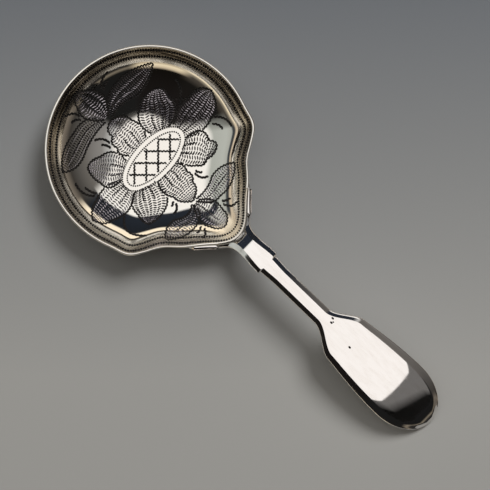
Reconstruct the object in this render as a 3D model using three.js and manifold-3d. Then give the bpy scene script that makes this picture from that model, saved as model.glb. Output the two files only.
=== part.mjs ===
// Fiddle pattern caddy spoon in silver.
// Three pieces: a raised sheet bowl, a forged handle whose root is spread into a saddle under the rim,
// and the film of hard solder that joins the two.
// Millimetres, +Z up. The origin is the middle of the flat foot under the bowl, and the handle runs along +X.
import * as THREE from 'three';
import { mergeVertices } from 'three/addons/utils/BufferGeometryUtils.js';
import Module from 'manifold-3d';

const wasm = await Module();
wasm.setup();

// Bowl
const bowlWidth = 41.6;
const bowlHeight = 8.0;
const sheetThickness = 0.6;
const footRadius = 6.0;
const dishRise = 1.45;
const wallPower = 5;

// Outline of the rim, as it departs from a circle: nose, waists and shoulders (angles in degrees)
const noseReach = 4.1;
const noseAngle = 14;
const waistDepth = 1.3;
const waistAngle = 38.5;
const waistSpread = 11;
const shoulderFlare = 0.6;
const shoulderAngle = 58;
const shoulderSpread = 6.5;
const outlineFade = 3;

// Handle, in plan
const handleReach = 52.9;
const rootOverlap = 5.0;
const rootHalfWidth = 4.4;
const neckHalfWidth = 2.25;
const neckFlare = 0.7;
const neckFlareLength = 1.3;
const neckLength = 7.2;
const notchHalfWidth = 2.75;
const notchFloorHalfWidth = 2.2;
const notchFlank = 0.35;
const notchRunOut = 4.0;
const stemHalfWidth = 2.0;
const stemLength = 22.0;
const bladeShoulderHalfWidth = 5.35;
const bladeShoulderLength = 7.2;
const bladeHalfWidth = 6.55;
const roundEndLength = 9.2;
const tipHalfWidth = 0.7;

// Handle, from the side
const rimStep = 0.8;
const neckSlope = 27;
const neckBendReach = 2.9;
const neckBendLength = 1.2;
const stemSlope = 9;
const crestReach = 13.2;
const tipSlope = 35;
const rootThickness = 1.2;
const stemThickness = 2.1;
const bladeThickness = 1.25;
const tipThickness = 1.0;
const edgeShare = 0.25;

// Bevels along the edges of the handle
const neckBevel = 1.2;
const stemBevel = 1.0;
const bladeBevel = 1.5;
const bevelLimit = 0.6;
const chamferShare = 0.8;
const chamferDrop = 0.33;

// Saddle at the root of the handle, and the solder under it
const saddleThickness = 0.6;
const saddleHalfWidth = 8.9;
const saddleEarDrop = 0.1;
const saddleEarRound = 0.9;
const saddleEarShare = 0.85;
const saddleDip = 0.9;
const saddleDipHalfWidth = 3.8;
const saddleDipFlank = 0.8;
const dropLift = 1.9;
const solderFilm = 0.18;
const solderMargin = 0.35;
const seatGap = 0.1;

// Facets
const turnSegments = 96;
const innerSteps = 14;
const lipSteps = 6;
const outerSteps = 11;
const edgeSteps = 2;
const shieldSteps = 8;
const spineSamples = 400;

const wornSilver = new THREE.MeshStandardMaterial({ color: 0xe2dccb, roughness: 0.14, metalness: 1 });
const brightSilver = new THREE.MeshStandardMaterial({ color: 0xe6e3dc, roughness: 0.12, metalness: 1 });
const hardSolder = new THREE.MeshStandardMaterial({ color: 0xcfcbbf, roughness: 0.32, metalness: 1 });

const { degToRad, radToDeg, lerp, mapLinear, smoothstep } = THREE.MathUtils;
const quarterTurn = Math.PI / 2;

const bowlRadius = bowlWidth / 2;
const innerRadius = bowlRadius - sheetThickness;
const wallRise = bowlHeight - sheetThickness - dishRise;
const noseX = bowlRadius + noseReach;
const neckTop = bowlHeight - rimStep;

// How far the rim lies from the middle of the bowl, by the angle from the handle's axis in degrees.
function rimReach(degrees) {
  const away = Math.abs(degrees);
  const hump = (middle, spread) => Math.exp(-(((away - middle) / spread) ** 2));
  return bowlRadius
    + noseReach * hump(0, noseAngle)
    - waistDepth * hump(waistAngle, waistSpread)
    + shoulderFlare * hump(shoulderAngle, shoulderSpread);
}

// Height and slope of the inside of the bowl, at a share of the inner radius.
const insideHeight = (share) => sheetThickness + dishRise * share ** 2 + wallRise * share ** wallPower;
const insideSlope = (share) =>
  Math.atan((2 * dishRise * share + wallPower * wallRise * share ** (wallPower - 1)) / innerRadius);

// A point of the bowl's section, as radius and height, at a depth below the inside face.
function sectionPoint(share, depth) {
  const slope = insideSlope(share);
  const radius = share * innerRadius + depth * Math.sin(slope);
  const height = insideHeight(share) - depth * Math.cos(slope);
  return new THREE.Vector2(radius, height);
}

// Shares of the radius that crowd towards the rim, where the wall turns up.
const shareAt = (i, steps) => Math.sin(quarterTurn * (i / steps));

// The outer face of the bowl from the axis to the rim, grown by a distance, with its flat foot.
function outsidePoints(growth) {
  const foot = -growth;
  const points = [new THREE.Vector2(0, foot), new THREE.Vector2(footRadius, foot)];
  for (let i = 0; i <= outerSteps; i++) {
    const point = sectionPoint(shareAt(i, outerSteps), sheetThickness + growth);
    point.y = Math.max(point.y, foot);
    if (point.x > footRadius + sheetThickness) points.push(point);
  }
  return points;
}

// Merges a geometry to positions only and drops the triangles that have collapsed at a pole.
function weld(geometry) {
  const bare = geometry.clone();
  bare.deleteAttribute('normal');
  bare.deleteAttribute('uv');
  const merged = mergeVertices(bare, 1e-5);
  const corners = merged.index.array;
  const kept = [];
  for (let i = 0; i < corners.length; i += 3) {
    const [a, b, c] = [corners[i], corners[i + 1], corners[i + 2]];
    if (a !== b && b !== c && c !== a) kept.push(a, b, c);
  }
  merged.setIndex(kept);
  return merged;
}

function toSolid(geometry) {
  const welded = weld(geometry);
  const mesh = new wasm.Mesh({
    numProp: 3,
    vertProperties: new Float32Array(welded.attributes.position.array),
    triVerts: new Uint32Array(welded.index.array),
  });
  return new wasm.Manifold(mesh);
}

function toGeometry(solid) {
  const mesh = solid.getMesh();
  const geometry = new THREE.BufferGeometry();
  geometry.setAttribute('position', new THREE.BufferAttribute(new Float32Array(mesh.vertProperties), 3));
  geometry.setIndex(new THREE.BufferAttribute(new Uint32Array(mesh.triVerts), 1));
  return geometry;
}

// Turns a section about the bowl's axis, then pulls every point in or out towards the outline of the rim.
// The pull fades towards the middle, so the foot stays round.
function turnToOutline(points) {
  const geometry = new THREE.LatheGeometry(points, turnSegments);
  geometry.rotateX(quarterTurn);
  const position = geometry.attributes.position;
  for (let i = 0; i < position.count; i++) {
    const [x, y] = [position.getX(i), position.getY(i)];
    const fade = (Math.hypot(x, y) / bowlRadius) ** outlineFade;
    const pull = lerp(1, rimReach(radToDeg(Math.atan2(y, x))) / bowlRadius, fade);
    position.setXY(i, x * pull, y * pull);
  }
  return weld(geometry);
}

// The shell: outer face, half-round lip, inner face.
function bowlGeometry() {
  const outside = outsidePoints(0);
  const lipOuter = outside[outside.length - 1];
  const lipInner = sectionPoint(1, 0);
  const lipMiddle = lipOuter.clone().add(lipInner).multiplyScalar(0.5);
  const lipRadius = lipOuter.clone().sub(lipMiddle);
  const lip = [];
  for (let i = 1; i < lipSteps; i++) {
    const turned = lipRadius.clone().rotateAround(new THREE.Vector2(), Math.PI * (i / lipSteps));
    lip.push(turned.add(lipMiddle));
  }
  const inside = [];
  for (let i = innerSteps; i >= 0; i--) inside.push(sectionPoint(shareAt(i, innerSteps), 0));
  return turnToOutline([...outside, ...lip, ...inside]);
}

// The bowl filled in to above the handle, and grown past its outer face by a distance.
function filledBowl(growth) {
  const points = outsidePoints(growth);
  const rim = points[points.length - 1];
  const headroom = bowlHeight + 2 * stemThickness;
  points.push(new THREE.Vector2(rim.x, headroom), new THREE.Vector2(0, headroom));
  return toSolid(turnToOutline(points));
}

// Where the features of the handle lie along X
const rootX = noseX - rootOverlap;
const notchX = noseX + neckLength;
const stemEndX = noseX + stemLength;
const bladeShoulderX = stemEndX + bladeShoulderLength;
const tipX = noseX + handleReach;
const roundEndX = tipX - roundEndLength;

// Eases from one value to another between two places along X.
const ease = (x, x0, x1, v0, v1) => lerp(v0, v1, smoothstep(x, x0, x1));

function handleHalfWidth(x) {
  if (x <= notchX) {
    const neck = ease(x, noseX, notchX, neckHalfWidth, notchHalfWidth);
    return Math.min(rootHalfWidth, neck + neckFlare * Math.exp((noseX - x) / neckFlareLength));
  }
  if (x < stemEndX) return ease(x, notchX, notchX + notchRunOut, notchFloorHalfWidth, stemHalfWidth);
  if (x < bladeShoulderX) return ease(x, stemEndX, bladeShoulderX, stemHalfWidth, bladeShoulderHalfWidth);
  if (x < roundEndX) {
    const swell = (x - bladeShoulderX) / (roundEndX - bladeShoulderX);
    return lerp(bladeShoulderHalfWidth, bladeHalfWidth, Math.sin(quarterTurn * swell));
  }
  const past = (x - roundEndX) / roundEndLength;
  return Math.max(tipHalfWidth, bladeHalfWidth * Math.sqrt(Math.max(0, 1 - past ** 2)));
}

function handleThickness(x) {
  if (x < notchX) return ease(x, rootX, noseX, rootThickness, stemThickness);
  if (x < roundEndX) return ease(x, notchX, roundEndX, stemThickness, bladeThickness);
  return ease(x, roundEndX, tipX, bladeThickness, tipThickness);
}

// The handle's middle line from the side: steeply up from under the rim, a bend, a low crest, and down to the table.
function handleSpine() {
  const along = (from, reach, degrees) =>
    new THREE.Vector2(from.x + reach, from.y + reach * Math.tan(degToRad(degrees)));
  const neck = new THREE.Vector2(noseX, neckTop - stemThickness / 2);
  const root = along(neck, -rootOverlap, neckSlope);
  const bend = along(neck, neckBendReach, neckSlope);
  const bendStart = along(bend, -neckBendLength / 2, neckSlope);
  const bendEnd = along(bend, neckBendLength / 2, stemSlope);
  const climb = (noseX + crestReach - bendEnd.x) / 3;
  const crest = new THREE.Vector2(noseX + crestReach, along(bendEnd, 1.5 * climb, stemSlope).y);
  const end = new THREE.Vector2(tipX, (tipThickness / 2) * Math.cos(degToRad(tipSlope)));
  const fall = (end.x - crest.x) / 3;
  const path = new THREE.CurvePath();
  path.add(new THREE.LineCurve(root, bendStart));
  path.add(new THREE.QuadraticBezierCurve(bendStart, bend, bendEnd));
  path.add(new THREE.CubicBezierCurve(
    bendEnd,
    along(bendEnd, climb, stemSlope),
    new THREE.Vector2(crest.x - climb, crest.y),
    crest,
  ));
  path.add(new THREE.CubicBezierCurve(
    crest,
    new THREE.Vector2(crest.x + fall, crest.y),
    along(end, -0.75 * fall, -tipSlope),
    end,
  ));
  return path.getSpacedPoints(spineSamples);
}

// Height and tilt of the middle line at a place along X.
function spineAt(samples, x) {
  const last = samples.length - 1;
  const after = samples.findIndex((point, i) => i > 0 && (point.x >= x || i === last));
  const [from, to] = [samples[after - 1], samples[after]];
  return { height: mapLinear(x, from.x, to.x, from.y, to.y), tilt: Math.atan2(to.y - from.y, to.x - from.x) };
}

// Rings of the handle along X, closer together where the outline turns.
function handleStations() {
  const spread = (from, to, count) => Array.from({ length: count }, (_, i) => lerp(from, to, i / count));
  const roundEnd = Array.from({ length: 13 }, (_, i) => roundEndX + roundEndLength * shareAt(i, 12));
  return [
    ...spread(rootX, noseX, 10),
    ...spread(noseX, notchX, 6),
    notchX,
    ...spread(notchX + notchFlank, stemEndX, 9),
    ...spread(stemEndX, bladeShoulderX, 9),
    ...spread(bladeShoulderX, roundEndX, 8),
    ...roundEnd,
  ];
}

// How wide the bevel along the handle's edge is.
function bevelWidth(x) {
  if (x < stemEndX) return ease(x, noseX, notchX, neckBevel, stemBevel);
  return ease(x, stemEndX, roundEndX, stemBevel, bladeBevel);
}

// Half of the section: a flat top, a chamfer, then a rounded edge. Each step gives a place across and a share of the
// thickness.
function sectionSteps(x) {
  const halfWidth = handleHalfWidth(x);
  const bevel = Math.min(bevelWidth(x), bevelLimit * halfWidth);
  const flat = halfWidth - bevel;
  const steps = [{ across: 0, fullness: 1 }, { across: flat / 2, fullness: 1 }, { across: flat, fullness: 1 }];
  for (let i = 0; i <= edgeSteps; i++) {
    const turn = quarterTurn * (i / edgeSteps);
    steps.push({
      across: lerp(flat + chamferShare * bevel, halfWidth, Math.sin(turn)),
      fullness: lerp(edgeShare, 1 - chamferDrop, Math.cos(turn)),
    });
  }
  return steps;
}

// The forged bar before its saddle: a long box drawn to the outline, the section and the middle line.
function handleBar() {
  const stations = handleStations();
  const samples = handleSpine();
  const sections = stations.map((x) => sectionSteps(x));
  const half = sections[0].length - 1;
  const rings = stations.length - 1;
  const geometry = new THREE.BoxGeometry(1, 1, 1, rings, 2 * half, 2);
  const position = geometry.attributes.position;
  for (let i = 0; i < position.count; i++) {
    const ring = Math.round((position.getX(i) + 0.5) * rings);
    const column = Math.round(position.getY(i) * 2 * half);
    const step = sections[ring][Math.abs(column)];
    const spine = spineAt(samples, stations[ring]);
    const lift = position.getZ(i) * handleThickness(stations[ring]) * step.fullness;
    position.setXYZ(
      i,
      stations[ring] - lift * Math.sin(spine.tilt),
      Math.sign(column) * step.across,
      spine.height + lift * Math.cos(spine.tilt),
    );
  }
  return toSolid(geometry);
}

// A shield as seen along the handle: the neck's root, a dip on each side of it, two ears under the rim, and all of it
// drawn to a rounded drop under the bowl.
function shieldSolid(margin) {
  const bottom = dropLift - margin;
  const half = saddleHalfWidth + margin;
  const earTop = neckTop - saddleEarDrop;
  const earZ = earTop - saddleEarRound;
  const middleZ = (neckTop + bottom) / 2;
  const shape = new THREE.Shape();
  shape.moveTo(-half, earZ);
  shape.quadraticCurveTo(-half, earTop, -saddleEarShare * half, earTop);
  shape.lineTo(-saddleDipHalfWidth - saddleDipFlank, earTop);
  shape.lineTo(-saddleDipHalfWidth, earTop - saddleDip);
  shape.lineTo(-neckHalfWidth / 2, neckTop);
  shape.lineTo(neckHalfWidth / 2, neckTop);
  shape.lineTo(saddleDipHalfWidth, earTop - saddleDip);
  shape.lineTo(saddleDipHalfWidth + saddleDipFlank, earTop);
  shape.lineTo(saddleEarShare * half, earTop);
  shape.quadraticCurveTo(half, earTop, half, earZ);
  shape.bezierCurveTo(0.75 * half, middleZ, 0.5 * half, bottom, 0, bottom);
  shape.bezierCurveTo(-0.5 * half, bottom, -0.75 * half, middleZ, -half, earZ);
  const depth = noseX + saddleThickness - footRadius + sheetThickness;
  const geometry = new THREE.ExtrudeGeometry(shape, { depth, bevelEnabled: false, curveSegments: shieldSteps });
  geometry.rotateX(quarterTurn);
  geometry.rotateZ(quarterTurn);
  geometry.translate(footRadius, 0, 0);
  return toSolid(geometry);
}

function handleGeometry() {
  const seat = 2 * seatGap + solderFilm;
  const saddle = filledBowl(seat + saddleThickness).intersect(shieldSolid(0));
  return toGeometry(handleBar().add(saddle).subtract(filledBowl(seat)));
}

function solderGeometry() {
  const film = filledBowl(seatGap + solderFilm).subtract(filledBowl(seatGap));
  return toGeometry(film.intersect(shieldSolid(solderMargin)));
}

function piece(name, geometry, material) {
  const mesh = new THREE.Mesh(geometry, material);
  mesh.name = name;
  return mesh;
}

const spoon = new THREE.Group();
spoon.add(piece('bowl', bowlGeometry(), wornSilver));
spoon.add(piece('handle', handleGeometry(), brightSilver));
spoon.add(piece('solder_seam', solderGeometry(), hardSolder));

export default spoon;
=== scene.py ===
import math
import random
import bpy
import bmesh
from mathutils import Matrix, Vector
from mathutils.bvhtree import BVHTree
from mathutils.geometry import interpolate_bezier
from mathutils.interpolate import poly_3d_calc

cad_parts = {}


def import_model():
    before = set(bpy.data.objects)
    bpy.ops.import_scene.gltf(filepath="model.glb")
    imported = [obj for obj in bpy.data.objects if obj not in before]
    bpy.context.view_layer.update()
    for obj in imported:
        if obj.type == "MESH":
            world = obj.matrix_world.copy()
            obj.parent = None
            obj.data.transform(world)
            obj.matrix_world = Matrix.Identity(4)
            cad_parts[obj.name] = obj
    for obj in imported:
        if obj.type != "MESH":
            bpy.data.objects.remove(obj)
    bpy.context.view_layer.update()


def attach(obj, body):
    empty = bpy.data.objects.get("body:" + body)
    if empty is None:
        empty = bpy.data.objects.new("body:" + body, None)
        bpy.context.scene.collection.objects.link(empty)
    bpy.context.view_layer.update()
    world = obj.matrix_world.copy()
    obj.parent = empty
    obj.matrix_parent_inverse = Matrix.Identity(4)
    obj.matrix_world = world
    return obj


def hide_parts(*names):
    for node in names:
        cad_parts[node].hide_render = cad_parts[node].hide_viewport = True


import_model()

# Silver caddy spoon: an engraved bowl, a fiddle handle soldered under its rim, and the solder.
# Pieces are made in millimetres, with +X along the handle, and settle() turns them into scene units.
metre = 0.001


def ease(x, x0, x1, v0, v1):
    t = min(1.0, max(0.0, (x - x0) / (x1 - x0)))
    return v0 + (v1 - v0) * t * t * (3 - 2 * t)


def mix(a, b, t):
    return a + (b - a) * t


def toObject(bm, name, materials):
    mesh = bpy.data.meshes.new(name)
    bm.to_mesh(mesh)
    bm.free()
    mesh.shade_smooth()
    for material in materials:
        mesh.materials.append(material)
    obj = bpy.data.objects.new(name, mesh)
    bpy.context.scene.collection.objects.link(obj)
    return obj


def combine(obj, tool, operation):
    # joins, cuts or trims a piece with another solid, which is used up
    modifier = obj.modifiers.new(operation, "BOOLEAN")
    modifier.object = tool
    modifier.operation = operation
    modifier.solver = "MANIFOLD"
    shaped = obj.evaluated_get(bpy.context.evaluated_depsgraph_get())
    before = obj.data
    after = bpy.data.meshes.new_from_object(shaped)
    obj.modifiers.clear()
    obj.data = after
    after.name = obj.name
    bpy.data.meshes.remove(before)
    bpy.data.meshes.remove(tool.data)


def settle(obj):
    # millimetres to metres, in the mesh
    obj.data.transform(Matrix.Scale(metre, 4))


# Materials

def give(socket, value):
    # a link where the value is the socket of another node, or else a plain value or colour
    if isinstance(value, bpy.types.NodeSocket):
        socket.id_data.links.new(value, socket)
    else:
        socket.default_value = (*value, 1) if socket.type == "RGBA" else value


def setNode(node, *inputs, **values):
    # gives a node its settings and inputs by name, and inputs in their order
    for name, value in values.items():
        if hasattr(node, name):
            setattr(node, name, value)
        else:
            give(node.inputs[name.replace("_", " ")], value)
    for socket, value in zip(node.inputs, inputs):
        give(socket, value)


def addNode(tree, kind, *inputs, **values):
    node = tree.nodes.new("ShaderNode" + kind)
    setNode(node, *inputs, **values)
    return node


def calculate(tree, operation, *inputs):
    return addNode(tree, "Math", *inputs, operation=operation).outputs[0]


def rescale(tree, value, start, end, low=0.0, high=1.0, smooth=False):
    # low up to the start, high from the end on
    return addNode(tree, "MapRange", interpolation_type="SMOOTHSTEP" if smooth else "LINEAR", Value=value,
                   From_Min=start, From_Max=end, To_Min=low, To_Max=high).outputs["Result"]


def mixColours(tree, share, first, second):
    return addNode(tree, "Mix", data_type="RGBA", Factor=share, A=first, B=second).outputs["Result"]


def addRamp(tree, share, stops):
    # a colour ramp from its stops, each a place and a colour
    node = addNode(tree, "ValToRGB", Fac=share)
    elements = node.color_ramp.elements
    elements.remove(elements[1])
    for i, (place, colour) in enumerate(stops):
        element = elements.new(place) if i else elements[0]
        element.position = place
        element.color = (*colour, 1)
    return node.outputs["Color"]


def newMaterial(name, colour, roughness, metallic=1.0):
    # the material, with its node tree and its shader
    material = bpy.data.materials.new(name)
    material.use_nodes = True
    shader = material.node_tree.nodes["Principled BSDF"]
    setNode(shader, Base_Color=colour, Metallic=metallic, Roughness=roughness)
    return material, material.node_tree, shader


def newGroup(name, inputs, outputs):
    # a node group with named sockets, then what it is given and the node that takes its results
    group = bpy.data.node_groups.new(name, "ShaderNodeTree")
    for side, sockets in (("INPUT", inputs), ("OUTPUT", outputs)):
        for socket, kind in sockets.items():
            group.interface.new_socket(name=socket, in_out=side, socket_type="NodeSocket" + kind)
    return group, group.nodes.new("NodeGroupInput").outputs, group.nodes.new("NodeGroupOutput")


lookSockets = {"Colour": "Color", "Roughness": "Float", "Height": "Float"}

tarnishAndReflectionValues = {
    "silver": (0.89, 0.87, 0.82),
    # where the warm tint starts and where it is full, as shares of the way out to the rim
    "start": 0.83,
    "full": 0.92,
    # the side that is wiped, the cosines from it between which the wiping sets in, and how much of the warm tint it
    # leaves
    "wipedSide": (0, 0.58, -0.81),
    "wipedFade": (-0.1, 0.8),
    "left": 0.15,
    "streakStretch": (52, 1.9, 1.9),
    "streakDetail": 4.0,
    "streakRoughness": 0.62,
    "streakDistortion": 0.4,
    "shades": [(0.4, (0.15, 0.125, 0.095)), (0.5, (0.54, 0.46, 0.35)), (0.6, (1.0, 0.9, 0.72))],
    "roughness": (0.05, 0.24),
    "bumpStrength": 0.35,
    "bumpDistance": 0.0001,
}


def makeTarnishAndReflectionGroup():
    # a warm tint that gathers in the wall, partly tarnish and partly painted warm reflection of the room, in streaks
    # that run round it, with less left on the side that is wiped
    t = tarnishAndReflectionValues
    group, given, end = newGroup("wallTarnishAndReflection", {"Clean": "Color", "Start": "Float", "Full": "Float",
                                                 "Wiped Side": "Vector", "Left": "Float"}, lookSockets)
    sweep = addNode(group, "Attribute", attribute_name="sweep").outputs["Vector"]
    share = addNode(group, "SeparateXYZ", Vector=sweep).outputs["X"]
    spread = rescale(group, share, given["Start"], given["Full"], smooth=True)
    towards = addNode(group, "VectorMath", sweep, given["Wiped Side"], operation="DOT_PRODUCT").outputs["Value"]
    wiped = rescale(group, towards, *t["wipedFade"], 1.0, given["Left"], smooth=True)
    stretched = addNode(group, "Mapping", Vector=sweep, Scale=t["streakStretch"]).outputs["Vector"]
    streaks = addNode(group, "TexNoise", Vector=stretched, Scale=1.0, Detail=t["streakDetail"],
                      Roughness=t["streakRoughness"], Distortion=t["streakDistortion"]).outputs["Fac"]
    amount = calculate(group, "MULTIPLY", spread, wiped)
    setNode(end, Colour=mixColours(group, amount, given["Clean"], addRamp(group, streaks, t["shades"])),
            Roughness=rescale(group, spread, 0.0, 1.0, *t["roughness"]),
            Height=calculate(group, "MULTIPLY", spread, streaks))
    return group


def makeBowlSilver():
    t = tarnishAndReflectionValues
    # the wall's warm tint is partly tarnish and partly painted warm reflection
    material, tree, shader = newMaterial("bowlSilver", t["silver"], t["roughness"][0])
    tarnishAndWarmReflection = addNode(tree, "Group", node_tree=makeTarnishAndReflectionGroup(), Clean=t["silver"], Start=t["start"],
                      Full=t["full"], Wiped_Side=t["wipedSide"], Left=t["left"]).outputs
    bump = addNode(tree, "Bump", Strength=t["bumpStrength"], Distance=t["bumpDistance"], Height=tarnishAndWarmReflection["Height"])
    setNode(shader, Base_Color=tarnishAndWarmReflection["Colour"], Roughness=tarnishAndWarmReflection["Roughness"], Normal=bump.outputs["Normal"])
    return material


wearValues = {
    "detail": 3.0,
    "roughness": 0.6,
    "start": 0.4,
    "full": 0.75,
}


def makeWearGroup():
    # uneven wear: stains in patches, and a roughness that follows them
    w = wearValues
    group, given, end = newGroup("wear", {"Clean": "Color", "Stained": "Color", "Grain": "Vector",
                                          "Smooth": "Float", "Rough": "Float"}, lookSockets)
    place = addNode(group, "TexCoord").outputs["Object"]
    stretched = addNode(group, "VectorMath", place, given["Grain"], operation="MULTIPLY").outputs["Vector"]
    patches = addNode(group, "TexNoise", Vector=stretched, Scale=1.0, Detail=w["detail"],
                      Roughness=w["roughness"]).outputs["Fac"]
    worn = rescale(group, patches, w["start"], w["full"])
    setNode(end, Colour=mixColours(group, worn, given["Clean"], given["Stained"]),
            Roughness=rescale(group, worn, 0.0, 1.0, given["Smooth"], given["Rough"]), Height=patches)
    return group


def makeWorn(name, clean, stained, grain, smooth, rough, metallic=1.0, dents=0.0):
    material, tree, shader = newMaterial(name, clean, smooth, metallic)
    wear = addNode(tree, "Group", node_tree=wearGroup, Clean=clean, Stained=stained, Grain=grain, Smooth=smooth,
                   Rough=rough).outputs
    setNode(shader, Base_Color=wear["Colour"], Roughness=wear["Roughness"])
    if dents:
        bump = addNode(tree, "Bump", Strength=1.0, Distance=dents, Height=wear["Height"])
        setNode(shader, Normal=bump.outputs["Normal"])
    return material


wearGroup = makeWearGroup()
bowlSilver = makeBowlSilver()
handleSilver = makeWorn("handleSilver", clean=(0.92, 0.9, 0.88), stained=(0.86, 0.83, 0.8), grain=(160, 900, 900),
                        smooth=0.03, rough=0.1, dents=0.000002)
# the solder is coloured near black: its own darker grey with painted shade of the gap under the rim
solderSilverAndShade = makeWorn("solderSilverAndShade", clean=(0.12, 0.105, 0.09), stained=(0.05, 0.042, 0.036),
                        grain=(1800, 1800, 1800), smooth=0.3, rough=0.5)
# each hatch stroke has a lit flank of cut silver and a flank painted black as shade; the black also fills the
# blackened lines and the dents
cutSilver = makeWorn("cutSilver", clean=(0.5, 0.46, 0.5), stained=(0.34, 0.31, 0.33), grain=(700, 700, 700),
                     smooth=0.2, rough=0.32)
blackenedAndShadedCut = makeWorn("blackenedAndShadedCut", clean=(0.006, 0.005, 0.005), stained=(0.02, 0.017, 0.015),
                        grain=(900, 900, 900), smooth=0.65, rough=0.8, metallic=0)
bowlMaterials = [bowlSilver, cutSilver, blackenedAndShadedCut]
handleMaterials = [handleSilver, blackenedAndShadedCut]
print("materials made")


# Bowl

bowlValues = {
    "radius": 20.8,
    "height": 8.0,
    "sheet": 0.6,
    "foot": 6.0,
    "dishRise": 1.45,
    "wallPower": 5,
    "noseReach": 4.1,
    "noseAngle": 14,
    "waistDepth": 1.3,
    "waistAngle": 38.5,
    "waistSpread": 11,
    "shoulderFlare": 0.6,
    "shoulderAngle": 58,
    "shoulderSpread": 6.5,
    "outlineFade": 3,
    "insideSteps": 52,
    "lipSteps": 14,
    "lipFiled": 0.02,
    "lipTintArc": (-10, 24),
    "outsideSteps": 26,
    "turnSteps": 224,
    "seatTurnSteps": 144,
}
innerRadius = bowlValues["radius"] - bowlValues["sheet"]


def rimReach(x, y):
    # how far the rim lies from the middle of the bowl, in the direction of a place
    b = bowlValues
    away = abs(math.degrees(math.atan2(y, x)))
    hump = lambda middle, spread: math.exp(-((away - middle) / spread) ** 2)
    return (b["radius"] + b["noseReach"] * hump(0, b["noseAngle"])
            - b["waistDepth"] * hump(b["waistAngle"], b["waistSpread"])
            + b["shoulderFlare"] * hump(b["shoulderAngle"], b["shoulderSpread"]))


def insideHeight(share):
    # how high the inside face lies at a share of the way out, before the outline is pulled
    b = bowlValues
    wallRise = b["height"] - b["sheet"] - b["dishRise"]
    return b["sheet"] + b["dishRise"] * share ** 2 + wallRise * share ** b["wallPower"]


def sectionPoint(share, depth):
    # a point of the bowl's section at a depth below the inside face
    step = 0.0005
    rise = insideHeight(share + step) - insideHeight(share - step)
    slope = math.atan2(rise, 2 * step * innerRadius)
    return Vector((share * innerRadius + depth * math.sin(slope), 0,
                   insideHeight(share) - depth * math.cos(slope)))


def turnSection(points, turnSteps):
    # spins a chain of points about the bowl's axis and pulls it towards the rim's outline, less in the middle
    bm = bmesh.new()
    chain = [bm.verts.new(point) for point in points]
    edges = [bm.edges.new(pair) for pair in zip(chain, chain[1:])]
    bmesh.ops.spin(bm, geom=chain + edges, cent=(0, 0, 0), axis=(0, 0, 1),
                   steps=turnSteps, angle=math.tau, use_merge=True)
    bmesh.ops.remove_doubles(bm, verts=bm.verts, dist=1e-5)
    bmesh.ops.dissolve_degenerate(bm, edges=bm.edges, dist=1e-6)
    for vert in bm.verts:
        fade = (vert.co.xy.length / bowlValues["radius"]) ** bowlValues["outlineFade"]
        vert.co.xy *= mix(1, rimReach(vert.co.x, vert.co.y) / bowlValues["radius"], fade)
    bmesh.ops.recalc_face_normals(bm, faces=bm.faces)
    return bm


def shareAt(i, steps):
    # steps that come closer together towards the end
    return math.sin(math.pi / 2 * i / steps)


def outsidePoints(growth):
    # the outer face from the foot to the rim, moved out by a distance
    b = bowlValues
    foot = Vector((0, 0, -growth))
    points = [foot, foot + Vector((b["foot"], 0, 0))]
    for i in range(b["outsideSteps"] + 1):
        point = sectionPoint(shareAt(i, b["outsideSteps"]), b["sheet"] + growth)
        point.z = max(point.z, -growth)
        if point.x > b["foot"] + b["sheet"]:
            points.append(point)
    return points


def filledBowl(growth, name):
    # the space that the bowl takes up, from its outer face to well above the handle
    points = outsidePoints(growth)
    headroom = bowlValues["height"] * 2
    points += [Vector((points[-1].x, 0, headroom)), Vector((0, 0, headroom))]
    return toObject(turnSection(points, bowlValues["seatTurnSteps"]), name, [])


def makeBowl():
    b = bowlValues
    steps = b["insideSteps"]
    inside = [sectionPoint(shareAt(i, steps), 0) for i in range(steps + 1)]
    outside = outsidePoints(0)
    lipMiddle = (inside[-1] + outside[-1]) / 2
    radius = outside[-1] - lipMiddle
    lip = []
    for i in range(1, b["lipSteps"]):
        point = lipMiddle + Matrix.Rotation(-math.pi * i / b["lipSteps"], 3, "Y") @ radius
        point.z = min(point.z, lipMiddle.z + radius.length - b["lipFiled"])
        lip.append(point)
    bm = turnSection(outside + lip + inside[::-1], b["turnSteps"])
    return toObject(bm, "bowl_shell", bowlMaterials)


bowl = makeBowl()
print("bowl raised", len(bowl.data.polygons), "faces")


# Engraving: every line is a row of short graver strokes, cut into the inside of the bowl.

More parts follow.
